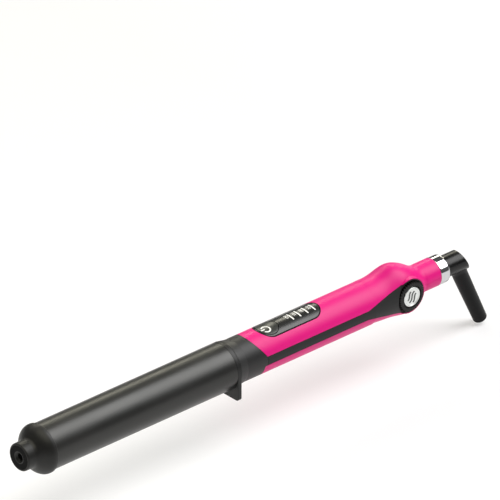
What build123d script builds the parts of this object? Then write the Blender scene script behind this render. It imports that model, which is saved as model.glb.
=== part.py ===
"""Curling wand with a turning temperature dial, a power button and a swivelling cord guard.

Row frame, in millimetres: the origin is the centre of the stand foot's bottom face, +Z is up,
+X runs along the wand from the tip to the cord end, and the dial is on the -Y side. Every function
builds its sub-part about the wand's own axis, and export_part lifts it to its height over the table.
"""
from build123d import *
import math
import os

# ---- driving dimensions ---------------------------------------------------------------------
AXIS_HEIGHT = 19.0          # wand axis above the table

BARREL_R = 16.0             # styling barrel
BARREL_WALL = 1.0
BARREL_START = -153.6       # joint between cool tip and barrel
BARREL_END = -1.6
BORE_R = BARREL_R - BARREL_WALL

TIP_FACE = -172.5
TIP_KNOB_R = 9.5
TIP_SHOULDER_R = 17.0
TIP_HOLE_R = 2.45

FLANGE_FRONT = -1.5
FLANGE_BACK = 1.6
COLLAR_CONE_END = 8.5
LEAD_BORE_R = 4.5           # way for the heater leads through insulator and flange
INSULATOR_NECK_R = 9.5

GRIP_R = 14.8               # handle grip
SHELL_WALL = 1.8
NECK_R = 9.7
HANDLE_END = 178.4
HANDLE_START = 8.0
SEAM = 0.06                 # half of the hairline between the two shells
INLAY_GAP = 0.15            # between a shell and a black inlay

EDGE_TOP_X = 16.7           # where the collar's slanted edge crosses the top of the grip
EDGE_SLOPE = 1.40           # drop of that edge for each mm towards the cord
EDGE_LOW_X = 23.0           # the collar's edge under the side strips
INLAY_CORNER_R = 1.2

STRIP_HALF = 3.1            # side strips
STRIP_FLARE_X = 112.0
RIGHT_STRIP_END = 126.0

DIAL_X = 147.9
DIAL_R = 10.5
DIAL_FACE_Y = -15.2
DIAL_BACK_Y = -10.6
DIAL_RIBS = 40
DIAL_SHAFT_R = 3.0
DIAL_CUP_R = 11.0           # inside of the cup that the dial turns in
DIAL_CUP_WALL = 0.6
DIAL_LIP_R = 12.4
BADGE_R = 6.7
RUNNING_GAP = 0.05

PANEL_START = 27.8
PANEL_END = 79.8
PANEL_HALF = 9.25
PANEL_THICK = 2.0
BUTTON_X = 36.9
BUTTON_R = 7.6
BUTTON_GAP = 0.3
BUTTON_TRAVEL = 0.5

BOARD_TOP = 5.0
BOARD_THICK = 1.6
BOARD_START = 28.5
BOARD_END = 96.0
BOARD_HALF = 9.0

RING_START = 178.7
RING_END = 186.7
RING_R = 9.75
SOCKET_START = 167.2
SPINDLE_R = 3.0
SPINDLE_START = 164.8
CONTACT_PLACES = (173.0, 179.0)
ELBOW_START = 187.0
ELBOW_R = 7.35
PIVOT_X = 198.1             # where the guard's axis crosses the wand's axis
GUARD_TILT = 24.3           # guard's lean from straight down, towards the back
GUARD_ROOT_R = 5.25
GUARD_END_R = 4.75
GUARD_LENGTH = 55.0
GUARD_BORE_R = 3.4
GUARD_BORE_START = 4.0      # the bore's blind end, from the pivot
GUARD_SPIGOT_R = 4.4        # the guard's root inside the elbow
ELBOW_BACK = 4.9            # elbow's flat back, behind the guard's axis

SCREW_PLACES = (104.0, 161.0)
SCREW_R = 1.25
SCREW_HEAD_R = 2.4
BOSS_R = 3.2

# stations of the bulge: place along the wand, half width, half height above and below the axis
BULGE = (
    (118.0, 14.80, 14.80, 14.80),
    (126.0, 14.80, 14.90, 14.90),
    (131.5, 14.90, 15.60, 15.40),
    (136.5, 15.00, 17.20, 16.00),
    (141.5, 15.10, 18.60, 17.00),
    (146.5, 15.00, 18.40, 18.10),
    (151.0, 14.50, 16.70, 18.30),
    (155.0, 13.50, 14.60, 16.00),
    (159.0, 11.80, 12.00, 12.60),
    (163.5, 9.90, 9.90, 10.00),
    (167.0, NECK_R, NECK_R, NECK_R),
)


# ---- helpers --------------------------------------------------------------------------------
def rod(start, end, radius, bore=0.0):
    """A cylinder or tube along the wand's axis."""
    solid = Pos((start + end) / 2, 0, 0) * Rot(0, 90, 0) * Cylinder(radius, end - start)
    if bore:
        solid -= Pos((start + end) / 2, 0, 0) * Rot(0, 90, 0) * Cylinder(bore, end - start + 1)
    return solid


def cross_rod(x, y0, y1, radius):
    """A cylinder across the wand, along Y."""
    return Pos(x, (y0 + y1) / 2, 0) * Rot(90, 0, 0) * Cylinder(radius, abs(y1 - y0))


def upright_rod(x, y, z0, z1, radius):
    """A cylinder along Z."""
    return Pos(x, y, (z0 + z1) / 2) * Cylinder(radius, z1 - z0)


def block(x0, x1, y0, y1, z0, z1):
    """A box between two corners."""
    return Pos((x0 + x1) / 2, (y0 + y1) / 2, (z0 + z1) / 2) * Box(x1 - x0, y1 - y0, z1 - z0)


def turned(*edges):
    """A solid of revolution about the wand's axis from the edges of its half section (x, radius)."""
    section = Plane.XZ * make_face(Curve() + list(edges))
    return revolve(section, Axis.X, 360)


def side_prism(sketch, y0, y1):
    """A sketch seen from the -Y side, drawn in X and Z, pushed through the wand from y0 to y1."""
    return Pos(0, max(y0, y1), 0) * extrude(Plane.XZ * sketch, abs(y1 - y0))


def lofted(stations):
    """A loft through upright ellipses (place, half width, half height)."""
    faces = [Pos(x, 0, 0) * Rot(0, 90, 0) * Ellipse(high, wide) for x, wide, high in stations]
    return loft(Sketch() + faces)


def wand_form(side, inset=0.0):
    """The handle's outer form for the upper (2) or lower (3) half heights, shrunk by an inset."""
    stations = [(row[0], row[1] - inset, row[side] - inset) for row in BULGE]
    form = rod(HANDLE_START, BULGE[0][0], GRIP_R - inset)
    form += lofted(stations)
    form += rod(BULGE[-1][0], HANDLE_END, NECK_R - inset)
    return form


def half_space(upper, gap=0.0):
    """Everything above or below the wand's axis plane."""
    if upper:
        return block(-60, 260, -40, 40, gap, 60)
    return block(-60, 260, -40, 40, -60, -gap)


def whole_form(inset=0.0):
    """The handle's full outer form, upper and lower halves together."""
    return (wand_form(2, inset) & half_space(True)) + (wand_form(3, inset) & half_space(False))


def inlay_outline(left):
    """The black region seen from a side: the collar, the side strip and, on the left, the dial pad."""
    knee = EDGE_TOP_X + (GRIP_R - STRIP_HALF) / EDGE_SLOPE
    peak = EDGE_TOP_X - (20 - GRIP_R) / EDGE_SLOPE
    tail = STRIP_FLARE_X if left else RIGHT_STRIP_END
    outline = make_face(Polyline(
        (-5, 20), (peak, 20), (knee, STRIP_HALF), (tail, STRIP_HALF), (tail, -STRIP_HALF),
        (EDGE_LOW_X, -STRIP_HALF), (EDGE_LOW_X, -20), (-5, -20), close=True))
    corners = [v for v in outline.vertices() if abs(abs(v.Y) - STRIP_HALF) < 0.01 and v.X < 40]
    outline = fillet(corners, INLAY_CORNER_R)
    if not left:
        return outline + Pos(RIGHT_STRIP_END, 0) * Circle(STRIP_HALF)
    rim = DIAL_CUP_R + DIAL_CUP_WALL
    flare = make_face(Polyline(
        (tail - 0.5, STRIP_HALF), tangent_point(rim, 1), tangent_point(rim, -1),
        (tail - 0.5, -STRIP_HALF), close=True))
    return outline + flare + Pos(DIAL_X, 0) * Circle(rim)


def tangent_point(radius, sign):
    """Where the pad's straight flare meets the dial's round rim."""
    run = DIAL_X - STRIP_FLARE_X
    lean = math.atan2(STRIP_HALF, run)
    span = math.hypot(run, STRIP_HALF)
    angle = lean + math.acos(radius / span)
    return (DIAL_X - radius * math.cos(angle), sign * radius * math.sin(angle))


def handle_skin():
    """The handle's wall, from its outer form to its inner form."""
    return whole_form() - whole_form(SHELL_WALL)


# ---- barrel and tip -------------------------------------------------------------------------
def cool_tip():
    """Heat-proof end cap: a short knob to hold on a rounded shoulder."""
    knob_end, dome_start, dome_middle, dome_end = -166.6, -163.7, -160.0, -156.0
    dome_start_r, dome_middle_r = 11.0, 14.9
    return turned(
        Line((TIP_FACE, TIP_HOLE_R), (TIP_FACE, TIP_KNOB_R - 1.2)),
        RadiusArc((TIP_FACE, TIP_KNOB_R - 1.2), (TIP_FACE + 1.2, TIP_KNOB_R), 1.2),
        Line((TIP_FACE + 1.2, TIP_KNOB_R), (knob_end, TIP_KNOB_R + 0.1)),
        RadiusArc((knob_end, TIP_KNOB_R + 0.1), (dome_start, dome_start_r), -4.4),
        ThreePointArc((dome_start, dome_start_r), (dome_middle, dome_middle_r), (dome_end, TIP_SHOULDER_R)),
        Line((dome_end, TIP_SHOULDER_R), (BARREL_START - 0.9, TIP_SHOULDER_R)),
        RadiusArc((BARREL_START - 0.9, TIP_SHOULDER_R), (BARREL_START - 0.1, 16.2), 0.8),
        Polyline((BARREL_START - 0.1, 16.2), (BARREL_START - 0.1, BORE_R - 0.05), (-147, BORE_R - 0.05),
                 (-147, 12.5), (-160, 12.5), (-162, 9), (-162, 1.4), (-165, 1.4), (-165, TIP_HOLE_R),
                 (TIP_FACE, TIP_HOLE_R)))


def tip_screw():
    """Screw that draws the tip to the heat spreaders, its head deep in the knob."""
    head = rod(-167.2, -165.0, 2.3) - block(-168, -166.4, -0.4, 0.4, -1.6, 1.6)
    return head + rod(-165.0, -140.0, SCREW_R)


def barrel_tube():
    """Styling barrel."""
    return rod(BARREL_START, BARREL_END, BARREL_R, BORE_R)


def heat_spreader(upper):
    """Half-round aluminium block that carries the heat to the barrel, with a flat for the heater."""
    body = rod(-146, -22, BORE_R - 0.3) & half_space(upper, 2.2)
    body -= rod(-147, -139, 1.4)
    for y in (-9.5, 9.5):
        body -= Pos(0, y, 0) * rod(-147, -21, 3.4)
    return body


def heater_plates():
    """Two flat ceramic heater plates, end to end between the spreaders."""
    return block(-132, -86, -5.5, 5.5, -2.2, 2.2) + block(-78, -32, -5.5, 5.5, -2.2, 2.2)


def temperature_sensor():
    """Glass bead thermistor in the groove beside the heater."""
    return Pos(0, 9.5, 0) * (rod(-62, -59, 1.6) + rod(-59, -40, 0.7))


def thermal_fuse():
    """Thermal cut-out in the other groove."""
    return Pos(0, -9.5, 0) * (rod(-66, -54, 2.0) + rod(-54, -40, 0.5))


def barrel_insulator():
    """Heat-proof plug that carries the barrel and passes through the stand flange."""
    plug = rod(-14, BARREL_END, BORE_R - 0.02) + rod(BARREL_END, 14, INSULATOR_NECK_R)
    return plug - rod(-15, 15, LEAD_BORE_R)


# ---- stand and collar -----------------------------------------------------------------------
def stand_flange():
    """Round flange whose lower edge is a flat foot, as wide as the barrel."""
    foot = Pos(0, -AXIS_HEIGHT / 2) * Rectangle(2 * BARREL_R, AXIS_HEIGHT)
    low = [v for v in foot.vertices() if v.Y < -AXIS_HEIGHT + 0.1]
    plate = Circle(BARREL_R) + fillet(low, 2.0) - Circle(INSULATOR_NECK_R)
    solid = extrude(Plane.YZ * plate, FLANGE_BACK - FLANGE_FRONT)
    return fillet((Pos(FLANGE_FRONT, 0, 0) * solid).edges().filter_by(GeomType.CIRCLE, reverse=True)
                  .filter_by(Axis.X, reverse=True), 0.35)


def front_collar():
    """Black collar from the flange to the pink shells, with a sleeve that the shells sit on."""
    skin = turned(Polyline(
        (FLANGE_BACK, INSULATOR_NECK_R), (FLANGE_BACK, BARREL_R - 0.1), (FLANGE_BACK + 0.1, BARREL_R),
        (COLLAR_CONE_END, GRIP_R), (30, GRIP_R), (30, GRIP_R - SHELL_WALL),
        (6, GRIP_R - SHELL_WALL - 0.6), (4.6, INSULATOR_NECK_R), (FLANGE_BACK, INSULATOR_NECK_R)))
    skin &= side_prism(inlay_outline(False) & Rectangle(2 * 25.2, 60), -30, 30)
    return skin + rod(10, 27, GRIP_R - SHELL_WALL - 0.02, GRIP_R - SHELL_WALL - 1.2)


# ---- handle ---------------------------------------------------------------------------------
def grown(outline):
    """An outline widened by the gap round the inlays."""
    return offset(outline, INLAY_GAP)


def dial_lip(upper):
    """Thin raised lip round the dial, on the left side of each shell."""
    ring = cross_rod(DIAL_X, -13.3, -9.4, DIAL_LIP_R) - cross_rod(DIAL_X, -20, 0, DIAL_CUP_R + DIAL_CUP_WALL)
    return (ring & half_space(upper, SEAM)) - side_prism(grown(inlay_outline(True)), -30, 0)


def screw_bosses(upper):
    """Posts inside the shells, open for the screws in the lower one."""
    posts = []
    for x in SCREW_PLACES:
        reach = 8.6 if x > DIAL_X else GRIP_R - 1.0
        if upper:
            post = upright_rod(x, 0, 0.4, reach, BOSS_R) - upright_rod(x, 0, 0, 6.0, SCREW_R)
        else:
            post = upright_rod(x, 0, -reach, -0.4, BOSS_R) - upright_rod(x, 0, -30, 1, SCREW_R + 0.1)
        posts.append(post)
    return posts


def handle_shell(upper):
    """One pink shell: the handle's wall, open for the strips, the dial and, on top, the panel."""
    shell = handle_skin() & half_space(upper, SEAM)
    shell -= side_prism(grown(inlay_outline(True)), -30, 0)
    shell -= side_prism(grown(inlay_outline(False)), 0, 30)
    shell += dial_lip(upper)
    for post in screw_bosses(upper):
        shell += post
    if upper:
        shell -= upright_prism(panel_outline(INLAY_GAP))
    else:
        for x in SCREW_PLACES:
            seat = 8.0 if x < DIAL_X else 5.5
            shell -= upright_rod(x, 0, -30, -seat, SCREW_HEAD_R + 0.15)
    return shell


def side_strip(left):
    """Black inlay along a side; the left one widens into the pad and cup of the dial."""
    outline = inlay_outline(left)
    behind = Pos(HANDLE_END, 0) * Rectangle(2 * (HANDLE_END - 25.4), 60)
    prism = side_prism(outline & behind, -30 if left else 0, 0 if left else 30)
    strip = handle_skin() & prism
    if left:
        strip -= cross_rod(DIAL_X, -30, 0, DIAL_CUP_R)
        cup = cross_rod(DIAL_X, -13.6, -8.8, DIAL_CUP_R + DIAL_CUP_WALL)
        cup -= cross_rod(DIAL_X, -30, -9.8, DIAL_CUP_R)
        cup -= cross_rod(DIAL_X, -30, 0, DIAL_SHAFT_R + 0.4)
        front = side_prism(outline & (Pos(DIAL_X - 40, 0) * Rectangle(80, 60)), -30, 0)
        strip += cup
        strip += (whole_form() & front & cross_rod(DIAL_X, -30, -9, DIAL_CUP_R + 3)) - cross_rod(
            DIAL_X, -30, 0, DIAL_CUP_R)
    return strip


# ---- controls -------------------------------------------------------------------------------
def panel_outline(grow=0.0):
    """The panel's stadium seen from above."""
    middle = (PANEL_START + PANEL_END) / 2
    return Pos(middle, 0) * SlotOverall(PANEL_END - PANEL_START + 2 * grow, 2 * (PANEL_HALF + grow))


def upright_prism(sketch, low=0.0):
    """A sketch seen from above, pushed up through the top of the handle."""
    return Pos(0, 0, low) * extrude(sketch, 30)


def control_panel():
    """Glossy dark window, curved with the grip, with a round opening for the button."""
    window = rod(PANEL_START - 2, PANEL_END + 2, GRIP_R - 0.1, GRIP_R - PANEL_THICK)
    window &= upright_prism(panel_outline())
    return window - upright_rod(BUTTON_X, 0, 0, 30, BUTTON_R + BUTTON_GAP)


def power_button():
    """Round button with a dished top, a skirt and a stem over the switch."""
    cap = rod(BUTTON_X - 12, BUTTON_X + 12, GRIP_R, GRIP_R - 2.2) & upright_prism(Pos(BUTTON_X, 0) * Circle(BUTTON_R))
    dish = Pos(BUTTON_X, 0, GRIP_R + 13.3) * Rot(90, 0, 0) * Sphere(14.0)
    return cap - dish + upright_rod(BUTTON_X, 0, BOARD_TOP + 4.9, GRIP_R - 1.9, 2.0)


def tactile_switch():
    """Switch under the button."""
    body = block(BUTTON_X - 3, BUTTON_X + 3, -3, 3, BOARD_TOP, BOARD_TOP + 3.0)
    return body + upright_rod(BUTTON_X, 0, BOARD_TOP + 3.0, BOARD_TOP + 4.1, 1.7)


def control_board():
    """Printed circuit board."""
    board = block(BOARD_START, BOARD_END, -BOARD_HALF, BOARD_HALF, BOARD_TOP - BOARD_THICK, BOARD_TOP)
    return fillet(board.edges().filter_by(Axis.Z), 1.5)


def indicator_leds():
    """Four small lamps under the panel's marks."""
    lamps = [upright_rod(x, 0, BOARD_TOP, BOARD_TOP + 6.5, 1.5) for x in (56.5, 62.7, 68.8, 74.9)]
    return Compound(lamps)


def power_triac():
    """Power switch of the heater, flat under the board."""
    low = BOARD_TOP - BOARD_THICK
    return block(80, 90, -5, 5, low - 4.5, low)


def mains_capacitor():
    """Box capacitor under the board."""
    low = BOARD_TOP - BOARD_THICK
    return block(60, 76, -4.5, 4.5, low - 8.5, low)


def microcontroller():
    """Control chip under the board."""
    low = BOARD_TOP - BOARD_THICK
    return block(42, 52, -3.2, 3.2, low - 1.6, low)


def dial_ribs():
    """The small grips round the dial's edge."""
    ribs = []
    for index in range(DIAL_RIBS):
        angle = 2 * math.pi * index / DIAL_RIBS
        x = DIAL_X + (DIAL_R - 0.05) * math.cos(angle)
        z = (DIAL_R - 0.05) * math.sin(angle)
        notch = Pos(x, (DIAL_FACE_Y + DIAL_BACK_Y) / 2, z) * Rot(90, 0, 0) * Cylinder(0.32, 8)
        ribs.append(notch)
    return ribs


def dial_wheel():
    """Knurled temperature dial with its hub and shaft."""
    disc = cross_rod(DIAL_X, DIAL_FACE_Y, DIAL_BACK_Y, DIAL_R)
    disc = fillet(disc.edges().filter_by(GeomType.CIRCLE).group_by(Axis.Y)[0], 0.9)
    disc -= dial_ribs()
    disc -= cross_rod(DIAL_X, -20, DIAL_FACE_Y + 1.3, BADGE_R + 0.9)
    return disc + cross_rod(DIAL_X, DIAL_BACK_Y - 0.5, -1.5, DIAL_SHAFT_R)


def dial_badge():
    """Round badge in the dial's face, with a raised rim."""
    disc = cross_rod(DIAL_X, DIAL_FACE_Y - 0.1, DIAL_FACE_Y + 1.3, BADGE_R)
    disc = fillet(disc.edges().filter_by(GeomType.CIRCLE).group_by(Axis.Y)[0], 0.35)
    return disc - cross_rod(DIAL_X, -20, DIAL_FACE_Y + 0.2, BADGE_R - 0.8)


def dial_encoder():
    """Rotary encoder behind the cup, with the bush that the dial's shaft turns in."""
    body = cross_rod(DIAL_X, -8.4, -2.6, 8.0)
    return body - cross_rod(DIAL_X, -9, -2, DIAL_SHAFT_R + RUNNING_GAP)


def dial_clip():
    """Spring clip that keeps the dial's shaft in the encoder."""
    return cross_rod(DIAL_X, -2.2, -1.5, 4.6) - cross_rod(DIAL_X, -3, -1, DIAL_SHAFT_R)


# ---- cord end -------------------------------------------------------------------------------
def chrome_ring():
    """Bright ring at the end of the handle, with a rounded back edge."""
    return turned(
        Polyline((RING_START, 7.8), (RING_START, RING_R - 0.2), (RING_START + 0.2, RING_R),
                 (RING_END - 1.8, RING_R)),
        RadiusArc((RING_END - 1.8, RING_R), (RING_END, RING_R - 1.8), 1.8),
        Polyline((RING_END, RING_R - 1.8), (RING_END, 7.8), (RING_START, 7.8)))


def swivel_socket():
    """Fixed half of the swivel, held in the neck and the ring."""
    body = rod(SOCKET_START, RING_END - 0.4, 7.75)
    body -= rod(SOCKET_START + 2, RING_END - 3, 5.4)
    return body - rod(SOCKET_START - 1, RING_END + 1, SPINDLE_R + RUNNING_GAP)


def contact_brushes():
    """Two sprung contacts that ride on the slip rings."""
    brushes = [block(x - 0.8, x + 0.8, -1.2, 1.2, 4.0, 5.2) for x in CONTACT_PLACES]
    return Compound(brushes)


def swivel_spindle():
    """Hollow shaft of the swivel, with the flange that the elbow is moulded on."""
    shaft = rod(SPINDLE_START, ELBOW_START + 1.0, SPINDLE_R)
    return shaft - rod(SPINDLE_START + 2, ELBOW_START + 2.0, 1.6)


def slip_rings():
    """Two brass rings on the spindle."""
    return Compound([rod(x - 1.5, x + 1.5, 3.9, SPINDLE_R) for x in CONTACT_PLACES])


def swivel_clip():
    """Clip at the spindle's inner end."""
    return rod(SPINDLE_START + 0.4, SPINDLE_START + 1.4, 4.6, SPINDLE_R)


def guard_frame():
    """Frame at the guard's root: its local +Z runs down the guard."""
    return Pos(PIVOT_X, 0, 0) * Rot(0, 180 - GUARD_TILT, 0)


def swivel_elbow():
    """Round body that turns behind the ring, cut flat along the guard."""
    body = rod(ELBOW_START, PIVOT_X + 16, ELBOW_R)
    edge = body.edges().filter_by(GeomType.CIRCLE).group_by(Axis.X)[0]
    body = fillet(edge, 0.5)
    body &= guard_frame() * Pos(-ELBOW_BACK, 0, 0) * Box(
        200, 60, 200, align=(Align.MIN, Align.CENTER, Align.CENTER))
    body -= rod(ELBOW_START - 1, ELBOW_START + 1.0, SPINDLE_R)
    return body - guard_frame() * Pos(0, 0, 10) * Cylinder(GUARD_SPIGOT_R, 20)


def cord_guard():
    """Slightly tapered sleeve that the cord leaves through."""
    end = GUARD_LENGTH
    sleeve = Pos(0, 0, (GUARD_BORE_START + end) / 2) * Cone(GUARD_ROOT_R, GUARD_END_R, end - GUARD_BORE_START)
    rim = sleeve.edges().filter_by(GeomType.CIRCLE).group_by(Axis.Z)[-1]
    sleeve = guard_frame() * fillet(rim, 1.0) - rod(ELBOW_START, PIVOT_X + 20, ELBOW_R)
    spigot = Pos(0, 0, 6) * Cylinder(GUARD_SPIGOT_R, 12)
    bore = Pos(0, 0, GUARD_BORE_START + end / 2) * Cylinder(GUARD_BORE_R, end)
    return (sleeve + guard_frame() * spigot) - guard_frame() * bore


# ---- fasteners and leads --------------------------------------------------------------------
def shell_screws():
    """Screws that close the shells, from below."""
    screws = []
    for x in SCREW_PLACES:
        seat = 8.0 if x < DIAL_X else 5.5
        head = upright_rod(x, 0, -seat - 1.8, -seat, SCREW_HEAD_R - 0.1)
        head -= block(x - 1.5, x + 1.5, -0.35, 0.35, -seat - 2, -seat - 1.2)
        head -= block(x - 0.35, x + 0.35, -1.5, 1.5, -seat - 2, -seat - 1.2)
        screws.append(head + upright_rod(x, 0, -seat, 6.0, SCREW_R - 0.02))
    return Compound(screws)


def lead(points, bend, radius=0.9):
    """A wire along straight runs and tangent arcs."""
    path = FilletPolyline(*points, radius=bend)
    start = Plane(origin=path @ 0, z_dir=path % 0)
    return sweep(start * Circle(radius), path)


def heater_leads():
    """Two wires from the board to the heater, through the insulator."""
    wires = []
    for y in (-2.2, 2.2):
        wires.append(lead([(-30.5, y, 0), (18, y, 0), (30, y, -6), (50, y, -6)], 8))
    return Compound(wires)


def supply_leads():
    """Two wires from the swivel's contacts to the board."""
    wires = []
    for y, z in ((4.4, 3.8), (6.4, 0.6)):
        wires.append(lead([(92, y, 1.8), (110, y, 1.8), (130, y, z), (167.0, y, z)], 12))
    return Compound(wires)


PARTS = {
    "cool_tip": cool_tip,
    "tip_screw": tip_screw,
    "barrel_tube": barrel_tube,
    "heat_spreader_upper": lambda: heat_spreader(True),
    "heat_spreader_lower": lambda: heat_spreader(False),
    "heater_plates": heater_plates,
    "temperature_sensor": temperature_sensor,
    "thermal_fuse": thermal_fuse,
    "barrel_insulator": barrel_insulator,
    "stand_flange": stand_flange,
    "front_collar": front_collar,
    "upper_shell": lambda: handle_shell(True),
    "lower_shell": lambda: handle_shell(False),
    "side_strip_left": lambda: side_strip(True),
    "side_strip_right": lambda: side_strip(False),
    "control_panel": control_panel,
    "power_button": power_button,
    "tactile_switch": tactile_switch,
    "control_board": control_board,
    "indicator_leds": indicator_leds,
    "power_triac": power_triac,
    "mains_capacitor": mains_capacitor,
    "microcontroller": microcontroller,
    "dial_wheel": dial_wheel,
    "dial_badge": dial_badge,
    "dial_encoder": dial_encoder,
    "dial_clip": dial_clip,
    "chrome_ring": chrome_ring,
    "swivel_socket": swivel_socket,
    "contact_brushes": contact_brushes,
    "swivel_spindle": swivel_spindle,
    "slip_rings": slip_rings,
    "swivel_clip": swivel_clip,
    "swivel_elbow": swivel_elbow,
    "cord_guard": cord_guard,
    "shell_screws": shell_screws,
    "heater_leads": heater_leads,
    "supply_leads": supply_leads,
}


def export_part(name, shape):
    """Lift a finished sub-part to its height over the table and write its STEP file."""
    export_step(Pos(0, 0, AXIS_HEIGHT) * shape, f"parts/{name}.step")


os.makedirs("parts", exist_ok=True)
for part_name, make in PARTS.items():
    export_part(part_name, make())
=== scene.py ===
"""Clipless styling wand: finishes, printed marks, fine trim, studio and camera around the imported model."""
import logging
import math
from dataclasses import dataclass
from enum import Enum
from typing import Callable, Iterable, Optional, Sequence

import bmesh
import bpy
from mathutils import Matrix, Vector


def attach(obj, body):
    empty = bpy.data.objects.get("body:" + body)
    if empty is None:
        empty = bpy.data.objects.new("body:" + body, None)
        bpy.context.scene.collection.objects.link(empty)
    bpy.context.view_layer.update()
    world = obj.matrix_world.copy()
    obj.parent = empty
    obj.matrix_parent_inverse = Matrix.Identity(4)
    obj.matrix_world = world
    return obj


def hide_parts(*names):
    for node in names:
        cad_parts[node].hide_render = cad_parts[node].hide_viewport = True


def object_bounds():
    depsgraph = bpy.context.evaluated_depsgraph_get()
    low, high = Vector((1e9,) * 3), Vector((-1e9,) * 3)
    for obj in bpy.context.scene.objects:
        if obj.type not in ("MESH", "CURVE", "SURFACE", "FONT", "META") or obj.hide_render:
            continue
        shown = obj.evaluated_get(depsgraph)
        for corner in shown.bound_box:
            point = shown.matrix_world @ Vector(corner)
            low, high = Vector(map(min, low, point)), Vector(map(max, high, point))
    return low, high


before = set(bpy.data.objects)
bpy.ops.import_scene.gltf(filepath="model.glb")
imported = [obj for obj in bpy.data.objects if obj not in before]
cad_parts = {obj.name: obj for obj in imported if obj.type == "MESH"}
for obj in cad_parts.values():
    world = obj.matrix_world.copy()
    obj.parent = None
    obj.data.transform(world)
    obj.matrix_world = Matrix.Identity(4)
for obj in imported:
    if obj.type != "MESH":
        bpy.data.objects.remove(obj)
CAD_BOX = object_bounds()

LOG = logging.getLogger("wand")
MM = 0.001
AXIS_HEIGHT = 0.019
GRIP_R = 0.0148
DIAL_X = 147.9        # dial's axis along the wand, mm
PIVOT_X = 198.1       # where the guard's axis leaves the wand's, mm
GUARD_TILT = 24.3     # guard's lean from straight down, degrees


# ---- small shared tools ----------------------------------------------------------------------
def linear(colour: str) -> tuple[float, float, float, float]:
    """Turn an sRGB hex colour into the linear colour that a shader socket takes.

    Args:
        colour: six hex digits, with or without a leading hash.

    Returns:
        Linear red, green, blue and an alpha of one.
    """
    digits = colour.lstrip("#")
    channels = [int(digits[i:i + 2], 16) / 255 for i in (0, 2, 4)]
    lit = [c / 12.92 if c <= 0.04045 else ((c + 0.055) / 1.055) ** 2.4 for c in channels]
    return (lit[0], lit[1], lit[2], 1.0)


def add_node(tree: bpy.types.NodeTree, kind: str, settings: Optional[dict] = None,
             inputs: Optional[dict] = None) -> bpy.types.Node:
    """Add one shader node, set it up and link it.

    Args:
        tree: the material's node tree.
        kind: the node's type, such as ShaderNodeTexNoise.
        settings: attribute names and values of the node.
        inputs: socket names or numbers, each with a value or with an output socket to link from.

    Returns:
        The new node.
    """
    node = tree.nodes.new(kind)
    for name, value in (settings or {}).items():
        setattr(node, name, value)
    for name, value in (inputs or {}).items():
        if isinstance(value, bpy.types.NodeSocket):
            tree.links.new(value, node.inputs[name])
        else:
            node.inputs[name].default_value = value
    return node


def paint_ramp(node: bpy.types.Node, stops: Sequence[tuple[float, tuple]]) -> None:
    """Set a colour ramp's stops.

    Args:
        node: the ramp.
        stops: places from 0 to 1, each with a linear colour.
    """
    ramp = node.color_ramp
    while len(ramp.elements) < len(stops):
        ramp.elements.new(0.5)
    for element, (place, colour) in zip(ramp.elements, stops):
        element.position = place
        element.color = colour


# ---- finishes --------------------------------------------------------------------------------
class Lines(Enum):
    """Fine machine lines that a finish may carry."""

    NONE = "none"
    TURNED = "turned"      # rings round the wand, one beside the other
    SPUN = "spun"          # circles round the dial's axis


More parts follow.
